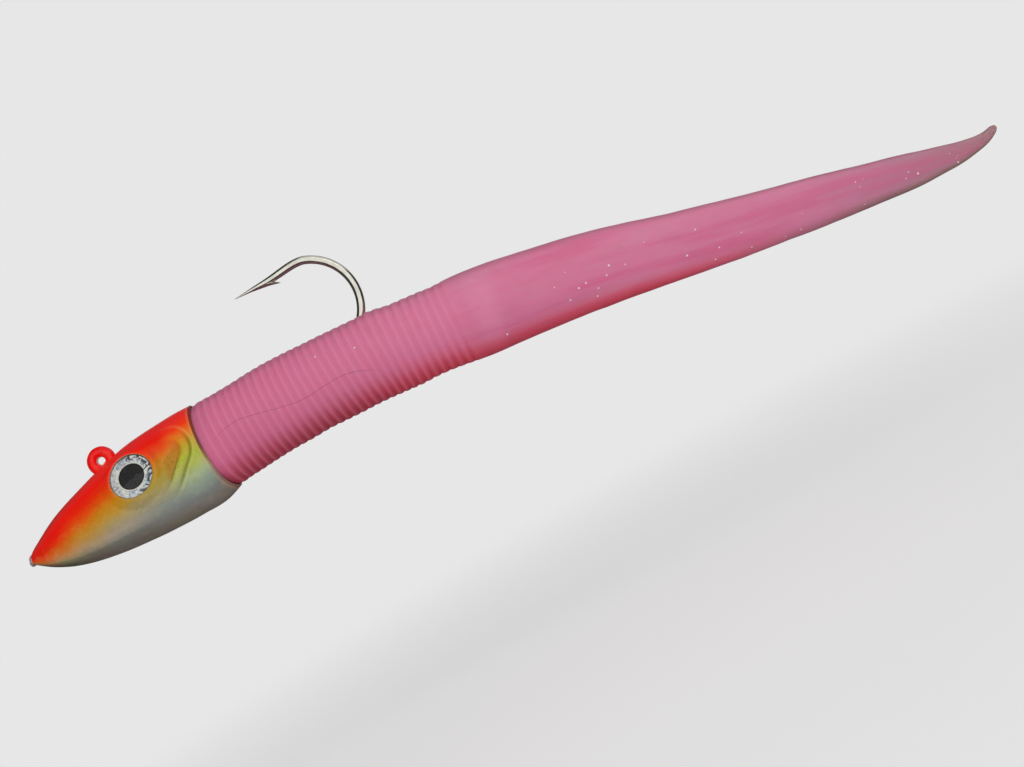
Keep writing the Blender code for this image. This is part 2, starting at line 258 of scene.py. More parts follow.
def finish_mesh(mesh, angle=40):
    """Faces out, round edges smooth and sharp ones sharp."""
    working = bmesh.new()
    working.from_mesh(mesh)
    bmesh.ops.recalc_face_normals(working, faces=working.faces)
    working.to_mesh(mesh)
    working.free()
    mesh.shade_smooth()
    mesh.set_sharp_from_angle(angle=math.radians(angle))
    return mesh


def add_piece(name, mesh, material):
    piece = bpy.data.objects.new(name, mesh)
    bpy.context.scene.collection.objects.link(piece)
    mesh.materials.clear()
    mesh.materials.append(material)
    return piece


def turned_mesh(name, profile, matrix, sides=96):
    """A closed solid turned about its own Z from a profile of (radius, z) in millimetres."""
    angles = full_turn(sides)
    rings = np.array([[(r * math.cos(a), r * math.sin(a), z) for a in angles] for r, z in profile])
    mesh = skin(name, rings)
    mesh.transform(matrix)
    return mesh


def apply_modifiers(piece):
    """Leaves what a piece's modifiers make in its own mesh."""
    graph = bpy.context.evaluated_depsgraph_get()
    made = bpy.data.meshes.new_from_object(piece.evaluated_get(graph), depsgraph=graph)
    piece.modifiers.clear()
    piece.data = made


def boolean(piece, cutter, operation):
    """Cuts a piece with a mesh, or joins the mesh on."""
    tool = bpy.data.objects.new("tool", cutter)
    bpy.context.scene.collection.objects.link(tool)
    modifier = piece.modifiers.new("Boolean", "BOOLEAN")
    modifier.operation = operation
    modifier.solver = "EXACT"
    modifier.object = tool
    apply_modifiers(piece)
    bpy.data.objects.remove(tool)


# ---------------- materials


def srgb(red, green, blue):
    """A colour picked on a screen, 0 to 255, as the linear colour that shaders use."""
    parts = [c / 255 for c in (red, green, blue)]
    return tuple(c / 12.92 if c <= 0.04045 else ((c + 0.055) / 1.055) ** 2.4 for c in parts) + (1.0,)


class Finish:
    """A material under construction: short calls for the nodes that it is made of."""

    def __init__(self, name):
        self.material = bpy.data.materials.new(name)
        self.material.use_nodes = True
        self.tree = self.material.node_tree
        self.shader = self.tree.nodes["Principled BSDF"]

    def add(self, kind, inputs=None, **settings):
        node = self.tree.nodes.new("ShaderNode" + kind)
        for key, value in settings.items():
            setattr(node, key, value)
        for key, value in (inputs or {}).items():
            self.put(node.inputs[key], value)
        return node

    def put(self, socket, value):
        if isinstance(value, bpy.types.NodeSocket):
            self.tree.links.new(value, socket)
        else:
            socket.default_value = value

    def set(self, **values):
        """Inputs of the Principled shader, with _ for each space in their names."""
        for key, value in values.items():
            self.put(self.shader.inputs[key.replace("_", " ")], value)

    def math(self, operation, *values):
        return self.add("Math", dict(enumerate(values)), operation=operation).outputs[0]

    def times(self, first, *others):
        """The product of two or more values."""
        for other in others:
            first = self.math("MULTIPLY", first, other)
        return first

    def gap(self, a, b):
        """How far apart two values are."""
        return self.math("ABSOLUTE", self.math("SUBTRACT", a, b))

    def vector(self, operation, *values):
        return self.add("VectorMath", dict(enumerate(values)), operation=operation).outputs[0]

    def attribute(self, name, output="Fac"):
        return self.add("Attribute", attribute_name=name).outputs[output]

    def split(self, vector):
        return self.add("SeparateXYZ", {0: vector}).outputs

    def noise(self, vector, scale, detail=2.0, roughness=0.5):
        inputs = {"Vector": vector, "Scale": scale, "Detail": detail, "Roughness": roughness}
        return self.add("TexNoise", inputs).outputs["Fac"]

    def step(self, value, low, high, start=0.0, end=1.0):
        """A smooth step of value from start, at low, to end, at high."""
        inputs = {0: value, 1: low, 2: high, 3: start, 4: end}
        return self.add("MapRange", inputs, interpolation_type="SMOOTHSTEP").outputs[0]

    def mix(self, factor, a, b):
        """The colour a where factor is 0 and b where it is 1."""
        return self.add("Mix", {0: factor, 6: a, 7: b}, data_type="RGBA").outputs[2]

    def wash(self, colour, *washes):
        """A colour under washes of (strength, red, green, blue), the first one lowest."""
        for strength, *tint in washes:
            colour = self.mix(strength, colour, srgb(*tint))
        return colour

    def ramp(self, value, *stops):
        """A colour ramp through stops of (place, red, green, blue)."""
        node = self.add("ValToRGB", {0: value})
        band = node.color_ramp.elements
        while len(band) < len(stops):
            band.new(0.5)
        for element, (place, *_) in zip(band, stops):
            element.position = place
        for element, (_, *colour) in zip(band, stops):
            element.color = srgb(*colour)
        return node.outputs[0]

    def bump(self, height, distance, strength=1.0, normal=None):
        inputs = {"Height": height, "Distance": distance, "Strength": strength}
        if normal is not None:
            inputs["Normal"] = normal
        return self.add("Bump", inputs).outputs[0]

    def blended(self, factor, a, b):
        """Makes the material's surface from shader a where factor is 0 and b where it is 1."""
        mixed = self.add("MixShader", {0: factor, 1: a, 2: b}).outputs[0]
        self.tree.links.new(mixed, self.tree.nodes["Material Output"].inputs["Surface"])

    def place(self):
        """The point's place in millimetres."""
        return self.vector("MULTIPLY", self.add("TexCoord").outputs["Object"], (1000, 1000, 1000))


# The last colours of each column, along the back, hold a painted pinkish sheen over the red paint.
HEAD_PAINT = (  # x of a column, then its colours at even heights from the belly to the back
    (-27, (
        (120, 90, 65), (200, 140, 90), (230, 115, 45), (250, 90, 25), (250, 50, 10),
        (240, 30, 0), (245, 25, 5), (245, 30, 20), (230, 45, 40), (220, 45, 40),
    )),
    (-21, (
        (105, 100, 80), (165, 160, 120), (215, 155, 100), (230, 130, 55), (235, 105, 20),
        (250, 55, 0), (250, 25, 0), (250, 15, 5), (250, 30, 20), (215, 50, 45),
    )),
    (-12, (
        (130, 115, 105), (150, 145, 125), (195, 165, 125), (205, 155, 75), (215, 145, 40),
        (235, 115, 10), (245, 75, 5), (250, 35, 0), (255, 20, 5), (240, 45, 40),
    )),
    (-3, (
        (135, 125, 115), (150, 150, 140), (185, 170, 150), (185, 165, 110), (205, 155, 50),
        (215, 140, 15), (235, 90, 0), (245, 45, 0), (255, 20, 10), (250, 45, 35),
    )),
    (17, (
        (145, 135, 120), (140, 140, 140), (150, 160, 150), (170, 160, 120), (170, 155, 70),
        (190, 150, 40), (215, 135, 30), (245, 80, 30), (250, 25, 5), (250, 40, 40),
    )),
    (24, (
        (150, 140, 130), (140, 145, 140), (155, 170, 155), (175, 190, 145), (180, 190, 90),
        (180, 190, 55), (195, 165, 35), (240, 125, 30), (255, 60, 20), (255, 45, 40),
    )),
)


def painted_columns(f, x, height):
    """The airbrushed colours of the head, each column fading into the next one along x.

    The last column starts at the gill cover's edge where there is one.
    """
    middles = [middle for middle, _ in HEAD_PAINT]
    tones = [
        f.ramp(height, *((0.05 + 0.1 * i, *colour) for i, colour in enumerate(colours)))
        for _, colours in HEAD_PAINT
    ]
    colour = tones[0]
    for before, middle, tone in zip(middles, middles[1:-1], tones[1:-1]):
        colour = f.mix(f.step(x, before, middle), colour, tone)
    further_back = f.step(x, middles[-2] + 1.0, middles[-1] - 0.5)
    behind_cover = f.step(f.attribute("gill"), -3.0, -2.5)
    return f.mix(f.mix(f.attribute("gilled"), further_back, behind_cover), colour, tones[-1])


def gill_colour_and_painted_light(f, colour, height):
    """Painted shadow in the gill slit and along the cheek plate's crease, painted highlights on the ridges
    beside the slit and a brown-gold cheek ahead of it.
    """
    gill, gilled = f.attribute("gill"), f.attribute("gilled")
    x, _, _ = f.split(f.place())
    cheek = f.times(f.step(gill, -2.5, -3.0), f.step(x, 16.2, 18.0), f.step(height, 0.12, 0.35))
    low_gill = f.times(f.step(height, 0.42, 0.2, 1.0, 0.4), f.step(height, 0.84, 0.66))
    # painted shadow in the gill slit
    slit = f.times(f.step(f.gap(gill, 0.0), 0.6, 0.1), low_gill)
    # painted highlights on the cover's ridge and on the collar behind the slit
    ridge_highlight = f.step(f.gap(gill, -1.7), 0.9, 0.2)
    collar = f.step(f.gap(gill, 0.95), 0.55, 0.1)
    # painted shade along the crease at the cheek plate's edge
    crease_shade = f.times(f.step(f.gap(gill, -2.75), 0.4, 0.05), f.step(height, 0.66, 0.5))
    colour = f.wash(
        colour,
        (f.times(cheek, gilled, 0.6), 184, 122, 20), (f.times(slit, gilled, 0.6), 116, 108, 20),
        (f.times(ridge_highlight, gilled, 0.16), 226, 190, 70), (f.times(collar, gilled, 0.16), 240, 230, 160),
        (f.times(crease_shade, gilled, 0.4), 104, 96, 44),
    )
    return colour, f.times(cheek, gilled)


def head_paint():
    """Airbrushed, faintly fluorescent red and gold over pearl, with a fine dark fleck, under clear coat;
    the fluorescence is a painted glow on the upper head.
    """
    f = Finish("head_paint")
    place = f.place()
    x, _, _ = f.split(place)
    drift = f.times(f.math("SUBTRACT", f.noise(place, 0.11, 3), 0.5), 0.08)
    height = f.math("ADD", f.attribute("height"), drift)
    colour, cheek = gill_colour_and_painted_light(f, painted_columns(f, x, height), height)
    mottle = f.noise(place, 0.55, 4.0, 0.6)
    dull = f.times(f.step(mottle, 0.5, 0.75), f.step(height, 0.8, 0.6, 0.03, 0.12))
    light = f.times(f.step(mottle, 0.5, 0.3), f.step(height, 0.7, 0.5, 0.0, 0.09))
    fleck = f.math("GREATER_THAN", f.noise(place, 2.1, 2.0, 0.6), 0.61)
    patches = f.step(f.noise(place, 0.16), 0.36, 0.6, 0.15, 0.6)
    dusted = f.times(f.step(height, 0.2, 0.34), f.step(height, 0.84, 0.7), patches)
    dusted = f.math("MAXIMUM", dusted, cheek)
    lip = f.attribute("lip")
    # painted shadow along the head's rear lip, where the eel's body meets it
    lip_shadow = f.times(f.step(lip, -0.6, -0.3), f.step(height, 0.3, 0.6, 0.35, 0.9))
    colour = f.wash(
        colour,
        (dull, 150, 96, 40), (light, 252, 214, 150), (f.times(fleck, dusted, 0.5), 96, 62, 28),
        (f.step(lip, -1.5, -0.8, 0.0, 0.25), 232, 160, 120), (lip_shadow, 104, 40, 28),
    )
    f.set(Base_Color=colour, Metallic=0.05, Roughness=f.step(f.noise(place, 0.9), 0.3, 0.7, 0.28, 0.38))
    f.set(Coat_Weight=0.1, Coat_Roughness=0.2, Specular_IOR_Level=0.14)
    # a painted glow that brightens the upper head's red and orange, standing in for fluorescence
    f.set(Emission_Color=colour, Emission_Strength=f.step(height, 0.45, 0.75, 0.0, 0.07))
    orange_peel = f.bump(f.noise(place, 0.9, 2.0), 0.00006)
    f.set(Normal=f.bump(f.noise(place, 0.22, 1.0), 0.00025, 0.6, orange_peel))
    return f.material


def ring_paint():
    """The head's red, thick and uneven over the wire, worn to bare metal in the hole."""
    f = Finish("ring_paint")
    place = f.place()
    x, _, z = f.split(place)
    runs = f.noise(place, 0.45, 3.0)
    colour = f.mix(f.step(runs, 0.35, 0.7), srgb(250, 6, 4), srgb(255, 36, 18))
    distance = f.math("SQRT", f.math("ADD", f.times(x, x), f.times(z, z)))
    worn = f.step(f.math("ADD", distance, f.times(runs, 0.5)), 1.35, 1.6, 1.0, 0.0)
    colour = f.wash(colour, (worn, 225, 205, 190))
    f.set(Base_Color=colour, Roughness=f.step(runs, 0.3, 0.7, 0.24, 0.36))
    f.set(Coat_Weight=0.2, Coat_Roughness=0.2, Specular_IOR_Level=0.2, Normal=f.bump(runs, 0.0002, 0.8))
    return f.material


def bare_lead():
    """Cut, oxidised lead with traces of the undercoat."""
    f = Finish("bare_lead")
    place = f.place()
    tone = f.noise(place, 1.6, 4.0, 0.6)
    colour = f.ramp(tone, (0.3, 120, 104, 104), (0.55, 176, 156, 156), (0.75, 212, 196, 194))
    f.set(Base_Color=colour, Metallic=0.15, Roughness=0.55, Normal=f.bump(tone, 0.0002))
    return f.material


def hook_steel():
    """Tinned wire: bright, faintly warm, with drawing marks along it and dull patches."""
    f = Finish("hook_steel")
    place = f.place()
    stretched = f.vector("MULTIPLY", place, (0.5, 3.0, 0.5))
    marks = f.noise(stretched, 1.2, 4.0, 0.6)
    dull = f.noise(place, 0.35, 3.0)
    colour = f.ramp(marks, (0.3, 190, 187, 174), (0.6, 210, 208, 197))
    colour = f.wash(colour, (f.step(dull, 0.58, 0.75, 0.0, 0.3), 190, 170, 152))
    f.set(Base_Color=colour, Metallic=1.0, Roughness=f.step(dull, 0.3, 0.7, 0.13, 0.2))
    f.set(Normal=f.bump(marks, 0.00001, 0.5))
    return f.material


def foil_chips(f, disc, behind, radius):
    """Irregular silver chips, pastel by turns, pale in front and with dark ones along the rim behind."""
    swirl = f.add("TexNoise", {"Vector": disc, "Scale": 0.8}).outputs["Color"]
    warped = f.vector("ADD", disc, swirl)
    chips = f.add("TexVoronoi", {"Vector": warped, "Scale": 0.95, "Randomness": 1.0})
    chip = f.split(chips.outputs["Color"])
    fine = f.add("TexVoronoi", {"Vector": disc, "Scale": 1.5, "Randomness": 1.0})
    shard = f.split(fine.outputs["Color"])
    silver = f.ramp(chip[0], (0.0, 150, 168, 186), (0.35, 210, 226, 234), (0.7, 255, 255, 255))
    tint = f.ramp(shard[1], (0.0, 212, 190, 234), (0.5, 228, 238, 244), (1.0, 188, 240, 218))
    rim = f.times(f.step(radius, 4.3, 5.2), f.step(behind, -2.5, 1.5, 0.2, 1.0))
    dark = f.times(f.math("GREATER_THAN", shard[0], 0.36), rim, 0.9)
    grey = f.times(f.math("GREATER_THAN", shard[2], 0.8), 0.4)
    glint = f.times(f.math("GREATER_THAN", chip[2], 0.7), 0.85)
    colour = f.wash(
        f.mix(0.45, silver, tint),
        (f.step(behind, -1.0, -4.0, 0.0, 0.55), 255, 252, 244), (dark, 34, 34, 66),
        (grey, 120, 118, 132), (glint, 255, 255, 250),
    )
    return colour, chip[1]


def eye_foil():
    """Holographic foil round a printed pupil with a slit. It reads the disc's own x, y."""
    f = Finish("eye_foil")
    disc = f.attribute("disc", "Vector")
    x, y, _ = f.split(disc)
    radius = f.add("VectorMath", {0: disc}, operation="LENGTH").outputs["Value"]
    behind = f.math("ADD", x, f.times(y, 0.1))
    colour, chip = foil_chips(f, disc, behind, radius)
    cream = f.step(radius, 4.3, 3.9, 0.0, 0.85)
    slant = f.times(f.math("SUBTRACT", x, 3.6), 0.27)
    slit = f.times(f.step(f.gap(y, slant), 0.2, 0.12), f.step(x, 3.4, 3.6))
    colour = f.wash(colour, (cream, 250, 248, 232), (slit, 24, 22, 26))
    # the iris edge: a painted highlight line on its front side and a painted shadow line behind
    edge = f.mix(f.step(behind, -4.0, 2.0), srgb(196, 168, 156), srgb(84, 56, 42))
    colour = f.mix(f.step(radius, IRIS_EDGE - 0.15, IRIS_EDGE), colour, edge)
    ink = f.mix(f.step(radius, PUPIL_R - 0.5, PUPIL_R - 0.2), srgb(30, 28, 31), srgb(4, 4, 5))
    pupil = f.step(radius, PUPIL_R + 0.05, PUPIL_R - 0.05)
    bare = f.math("SUBTRACT", 1.0, pupil)
    rough = f.mix(pupil, f.step(chip, 0.0, 1.0, 0.25, 0.5), (0.6, 0.6, 0.6, 1))
    f.set(Base_Color=f.mix(pupil, colour, ink), Metallic=f.times(bare, 0.12), Roughness=rough)
    f.set(Normal=f.bump(f.times(chip, bare), 0.00012, 0.6))
    return f.material


def clear_resin():
    """Cast epoxy: clear, with its gloss from the shader's own Fresnel."""
    f = Finish("clear_resin")
    place = f.place()
    facing = f.add("Fresnel", {"IOR": 1.52}).outputs[0]
    ripple = f.bump(f.noise(place, 0.5, 1.0), 0.00004)
    gloss = f.add("BsdfGlossy", {"Color": (1, 1, 1, 1), "Roughness": 0.04, "Normal": ripple}).outputs[0]
    clear = f.add("BsdfTransparent", {"Color": (0.97, 0.97, 0.965, 1)}).outputs[0]
    f.blended(f.times(facing, 0.3), clear, gloss)
    return f.material


def tail_pinks(f, place, along, tail):
    """The eel's pink from its head to its tip, with lengthwise streaks in the tail and soft clouds."""
    colour = f.ramp(
        f.math("DIVIDE", along, COLOUR_SPAN),
        (0.0, 224, 117, 156), (0.30, 230, 129, 167), (0.55, 228, 133, 169), (0.75, 222, 131, 167),
        (0.88, 196, 134, 158), (0.96, 180, 134, 146), (1.0, 160, 135, 130),
    )
    streaks = f.noise(f.vector("MULTIPLY", place, (0.016, 0.2, 0.2)), 1.0, 3.0, 0.5)
    deep = f.times(f.step(streaks, 0.5, 0.66), tail, 0.45)
    pale = f.times(f.step(streaks, 0.5, 0.34), tail, 0.35)
    clouds = f.noise(f.vector("MULTIPLY", place, (0.12, 0.2, 0.2)), 1.0, 3.0)
    cloudy = f.step(clouds, 0.5, 0.75, 0.0, 0.25)
    return f.wash(colour, (deep, 224, 96, 144), (pale, 222, 150, 176), (cloudy, 212, 120, 150))


def soft_plastic():
    """Pink soft PVC. It reads the piece's own rest place: length, y and height, in millimetres."""
    f = Finish("soft_plastic")
    place = f.attribute("place", "Vector")
    along, across, up = f.split(place)
    height, rib = f.attribute("height"), f.attribute("rib")
    tail = f.step(along, LAST_GROOVE - 4.0, LAST_GROOVE + 6.0)
    colour = tail_pinks(f, place, along, tail)
    # the deep red of the painted underside shade, brighter and redder further back along the ribs
    red = f.mix(f.step(along, 30.0, LAST_GROOVE), srgb(200, 60, 78), srgb(244, 62, 80))
    colour = f.mix(underside_shade_tint(f, height, along), colour, red)
    top_edge = f.times(f.step(height, 0.78, 0.98), f.step(along, 110.0, 200.0, 0.4, 0.6))
    low_edge = f.times(f.step(along, 150.0, 225.0), f.step(height, -0.55, -0.95), 0.8)
    grain = f.noise(place, 1.6, 3.0, 0.6)
    # painted shade in the rib grooves, strongest low on the body
    groove = f.times(f.step(rib, 0.6, 0.0), f.step(height, -0.25, -0.75, 0.03, 0.2))
    # painted highlight along the rib crests
    crest = f.times(f.step(rib, 0.86, 0.99), f.math("SUBTRACT", 1.0, tail), 0.22)
    colour = f.wash(
        colour,
        (top_edge, 166, 98, 108), (low_edge, 150, 122, 108),
        (f.step(grain, 0.6, 0.8, 0.0, 0.18), 240, 160, 186), (groove, 150, 34, 56),
        (crest, 244, 160, 190), (hairline(f, along, across, up), 120, 40, 70),
    )
    f.set(Base_Color=colour, Roughness=f.step(grain, 0.3, 0.7, 0.42, 0.54), Specular_IOR_Level=0.35)
    f.set(Subsurface_Weight=f.step(f.gap(along, SEAM), 1.0, 7.0, 0.0, 0.7), Subsurface_Scale=0.003)
    f.set(Subsurface_Radius=(1.0, 0.4, 0.45))
    soft = f.bump(f.noise(f.vector("MULTIPLY", place, (0.2, 0.7, 0.7)), 1.0, 3.0), 0.0003, 0.5)
    f.set(Normal=f.bump(grain, 0.0001, 0.5, soft))
    return f.material


def underside_shade_tint(f, height, along):
    """How much painted underside shade the skin gets for its height, in deep red for light reddened in the
    plastic: deep under the ribs, a thin line under the tail.
    """
    tail = f.step(along, LAST_GROOVE - 8.0, LAST_GROOVE + 10.0)
    under_ribs = f.times(f.step(height, -0.34, -1.0, 0.0, 0.9), f.math("SUBTRACT", 1.0, tail))
    under_tail = f.times(f.step(height, -0.55, -0.98, 0.0, 0.78), f.step(along, 190.0, 130.0), tail)
    return f.math("ADD", under_ribs, under_tail)


COLOUR_SPAN = 240.0  # the length over which the eel's pink fades into the tip's brown
HAIR_LENGTH, HAIR_HEIGHT = 60.0, 20.0  # the size of the field that the scratch is drawn in
HAIR = (  # length and height of the points that the scratch runs through
    (2.0, -0.5), (9.7, 1.7), (16.9, 0.5), (24.0, -1.3), (30.0, -2.2), (37.0, -1.7), (43.0, -1.5),
    (48.0, -2.6), (54.0, -5.8),
)


def hairline(f, along, across, up):
    """How much of a hair-thin scratch that wanders along the left flank is at each point."""
    node = f.add("FloatCurve", {1: f.math("DIVIDE", along, HAIR_LENGTH)})
    points = node.mapping.curves[0].points
    while len(points) < len(HAIR):
        points.new(0.5, 0.5)
    for point, (length, height) in zip(points, HAIR):
        point.location = (length / HAIR_LENGTH, 0.5 + height / HAIR_HEIGHT)
    node.mapping.update()
    centre = f.times(f.math("SUBTRACT", node.outputs[0], 0.5), HAIR_HEIGHT)
    near = f.step(f.gap(up, centre), 0.16, 0.07)
    left = f.math("LESS_THAN", across, 0.0)
    return f.times(near, f.step(along, 2.0, 8.0), f.step(along, 55.0, 48.0), left, 0.3)


def glitter():
    f = Finish("glitter")
    place = f.place()
    tone = f.noise(place, 0.6, 2.0)
    colour = f.ramp(tone, (0.3, 246, 208, 220), (0.7, 255, 246, 250))
    f.set(Base_Color=colour, Metallic=0.1, Roughness=0.3)
    return f.material


# ---------------- head

head_curve = Curve([math.sqrt(row[0] - NOSE) for row in HEAD_ROWS], [row[1:] for row in HEAD_ROWS])

REAR_RIM = (  # how far each ring of the rear lip is drawn in, and how far forward it lies
    (0.12, -0.22), (0.35, -0.3), (0.55, -0.2), (0.62, 0.2), (0.64, 1.6),
)

GILL_SLIT = (  # x, z of the slit behind the gill cover, from the top
    (15.5, -3.2), (18.6, -2.3), (21.6, -2.5), (24.2, -3.7), (25.8, -5.9), (26.2, -8.7), (25.2, -11.3),
    (22.9, -13.7), (20.8, -15.8), (18.9, -17.6), (16.4, -19.3), (13.6, -20.7),
)


def head_section(x):
    top, bottom, half_width = head_curve.at(math.sqrt(max(x - NOSE, 0.0)))
    return top, bottom, half_width, bottom + HEAD_WAIST * (top - bottom)


def face_shift(z):
    """How far the head's rear edge lies ahead of its corners at z; behind them where it is negative."""
    cup = CUP * np.clip(1 - ((z - CUP_Z) / CUP_HALF) ** 2, 0, None)
    heel = HEEL * np.clip((HEEL_Z - z) / HEEL_DEPTH, 0, None) ** 2
    return cup - heel


def head_ring(x, angles, inset=0.0, forward=0.0):
    """A section of the head at x, drawn in by inset, and how high on the head each point is."""
    top, bottom, half_width, waist = head_section(x)
    y_up, z_up = superellipse(angles, HEAD_TOP_POWER)
    y_down, z_down = superellipse(angles, HEAD_BOTTOM_POWER)
    upper = np.sin(angles) >= 0
    y = np.where(upper, y_up, y_down) * (half_width - inset)
    rise = np.where(upper, z_up * (top - waist - inset), z_down * (waist - bottom - inset))
    z = waist + rise
    chine = smooth(x, 14.0, -6.0) * CHINE_SHARPNESS
    share = (z - bottom) / max(top - bottom, 0.01)
    veed = np.sign(y) * half_width * CHINE_WIDTH * np.clip(share / CHINE, 0, 1)
    lower = (share < CHINE) & ~upper
    y = np.where(lower, y * (1 - chine) + np.where(np.abs(veed) < np.abs(y), veed, y) * chine, y)
    fade = np.clip(1 - (REAR - x) / CUP_LENGTH, 0, 1) ** 2
    points = np.stack([x - face_shift(z) * fade - forward + 0 * z, y, z], axis=-1)
    return points, share


def along_curve(points, curve):
    """Each point's signed distance from a curve in x, z, positive behind it, and its place along it."""
    knots = np.linspace(0, 1, len(curve))
    smooth_curve = Curve(knots, curve)
    line = np.array([smooth_curve.at(k) for k in np.linspace(0, 1, 60)])
    best = np.full(len(points), 1e9)
    signed = np.zeros(len(points))
    share = np.zeros(len(points))
    for i, (a, b) in enumerate(zip(line, line[1:])):
        step = b - a
        t = np.clip(((points - a) @ step) / (step @ step), 0, 1)
        away = points - (a + t[:, None] * step)
        distance = np.hypot(away[:, 0], away[:, 1])
        side = np.sign(step[1] * away[:, 0] - step[0] * away[:, 1])
        closer = distance < best
        best = np.where(closer, distance, best)
        signed = np.where(closer, -distance * side, signed)
        share = np.where(closer, (i + t) / (len(line) - 1), share)
    return signed, share


def eye_frame(side):
    """The middle of an eye's foil and its axes: along the head, up the cheek and out."""
    low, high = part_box(("left" if side == LEFT else "right") + "_eye_foil")
    tilt = math.radians(EYE_TILT)
    out = Vector((0.0, side * math.cos(tilt), math.sin(tilt)))
    up = Vector((0.0, -side * math.sin(tilt), math.cos(tilt)))
    return (low + high) / 2 / MM, Vector((1.0, 0.0, 0.0)), up, out


def eye_seats(points):
    """How each point of the head moves to make the flat, raised seats round the eyes."""
    moved = np.zeros_like(points)
    for side in (LEFT, RIGHT):
        centre, along, up, out = (np.array(v) for v in eye_frame(side))
        away = points - centre
        radius = np.hypot(away @ along, away @ up)
        # above the eye, where the back curves in, a seat is raised only a little
        most = 0.3 + 3.0 * smooth(away @ up, SEAT_R + 0.5, SEAT_R - 1.4)
        own = smooth(points[:, 1] * side, 0.0, 3.0)
        near = smooth(radius, SEAT_R + SEAT_BLEND, SEAT_R) * own
        rim = 0.25 * swell(radius, SEAT_R, 0.5) * own
        moved += out * (np.minimum(SEAT_HEIGHT - away @ out, most) * near + rim)[:, None]
    return moved


def gill_distance(points):
    """Each point's distance behind the gill slit, negative on the cheek, and how much gill there is."""
    distance, share = along_curve(points[:, [0, 2]], GILL_SLIT)
    fade = smooth(share, 0.08, 0.42) * smooth(share, 1.0, 0.75) * smooth(np.abs(points[:, 1]), 1.5, 4.0)
    return distance, fade


def swell(distance, middle, half_width):
    """A soft bump of height 1 round the middle."""
    return np.exp(-(((distance - middle) / half_width) ** 2))


def head_relief(points):
    """How far each point of the head stands out: gill covers and the mould's parting line."""
    distance, fade = gill_distance(points)
    slit = -0.36 * swell(distance, 0.0, 0.5)
    collar = 0.14 * swell(distance, 1.0, 0.6)
    cover = 0.2 * swell(distance, -1.6, 0.75)
    cheek = -0.26 * smooth(distance, -2.3, -3.1) * smooth(distance, -10.5, -7.5)
    seam = 0.1 * swell(points[:, 1], 0.0, 0.35) * smooth(points[:, 0], -30.0, -24.0)
    return (slit + collar + cover + cheek) * fade**1.6 + seam


def grid_normals(rings):
    """The outward direction at each point of a grid of rings."""
    forward = np.gradient(rings, axis=0)
    turned = (np.roll(rings, -1, axis=1) - np.roll(rings, 1, axis=1)) / 2
    normals = np.cross(forward, turned)
    length = np.linalg.norm(normals, axis=-1, keepdims=True)
    normals = normals / np.maximum(length, 1e-9)
    middle = rings.mean(axis=1, keepdims=True)
    outward = np.sign(((rings - middle) * normals).sum(-1).mean())
    return normals * outward


def make_head(paint, lead):
    angles = full_turn(288)
    stations = 300
    xs = NOSE + (REAR - NOSE) * (np.arange(1, stations + 1) / stations) ** 1.25
    sections = [head_ring(x, angles) for x in xs]
    rings = np.array([ring for ring, _ in sections])
    heights = np.array([height for _, height in sections])
    flat = rings.reshape(-1, 3)
    relief = (head_relief(flat) + lumps(flat, 9.0, 1) * 0.06) * smooth(flat[:, 0], -31.0, -27.0)
    gill, gilled = (values.reshape(stations, -1) for values in gill_distance(flat))
    rings = rings + relief.reshape(stations, -1, 1) * grid_normals(rings)
    rings = rings + eye_seats(flat).reshape(rings.shape)
    lips = np.broadcast_to(xs[:, None], heights.shape) - REAR

    rim = [head_ring(REAR, angles, inset, forward) for inset, forward in REAR_RIM]
    mesh = skin(
        "painted_head",
        np.concatenate([rings, [ring for ring, _ in rim]]),
        {
            "height": np.concatenate([heights, [height for _, height in rim]]),
            "lip": np.concatenate([lips, np.zeros((len(rim), len(angles)))]),
            "gill": np.concatenate([gill, np.full((len(rim), len(angles)), 9.0)]),
            "gilled": np.concatenate([gilled, np.zeros((len(rim), len(angles)))]),
        },
    )
    head = add_piece("painted_head", mesh, paint)
    for side in (LEFT, RIGHT):
        boolean(head, socket_mesh(side), "DIFFERENCE")
    finish_mesh(head.data, 50)
    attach(head, "root")
    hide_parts("head_casting")
    make_sprue(lead)


def make_sprue(lead):
    """The stub that is left on the nose where the lead was poured."""
    tilt = math.radians(-74)
    place = Vector((NOSE + 0.55, 0.0, HEAD_ROWS[0][1]))
    matrix = Matrix.Translation(place * MM) @ Matrix.Rotation(tilt, 4, "Y")
    profile = [(0.7, 0.66), (1.3, 0.6), (1.6, 0.38), (1.68, 0.05), (1.55, -0.25), (1.0, -0.7), (0.3, -0.9)]
    nib = turned_mesh("nose_sprue", profile, matrix, 40)
    nib = add_piece("nose_sprue", nib, lead)
    for vertex in nib.data.vertices:
        vertex.co += vertex.normal * noise.noise(vertex.co / MM * 1.3) * 0.12 * MM
    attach(nib, "root")


def eye_matrix(side, depth=0.0):
    """An eye's place with its own Z out, depth millimetres out from the middle of its foil."""
    centre, along, up, out = eye_frame(side)
    turn = Matrix((along * side * -1, up, out)).transposed().to_4x4()
    return Matrix.Translation((centre + out * depth) * MM) @ turn


def socket_mesh(side):
    profile = [(SOCKET_R + 0.12, 6.0), (SOCKET_R, SEAT_HEIGHT - 0.1), (SOCKET_R - 0.05, -0.2)]
    return turned_mesh("socket", profile, eye_matrix(side), 128)


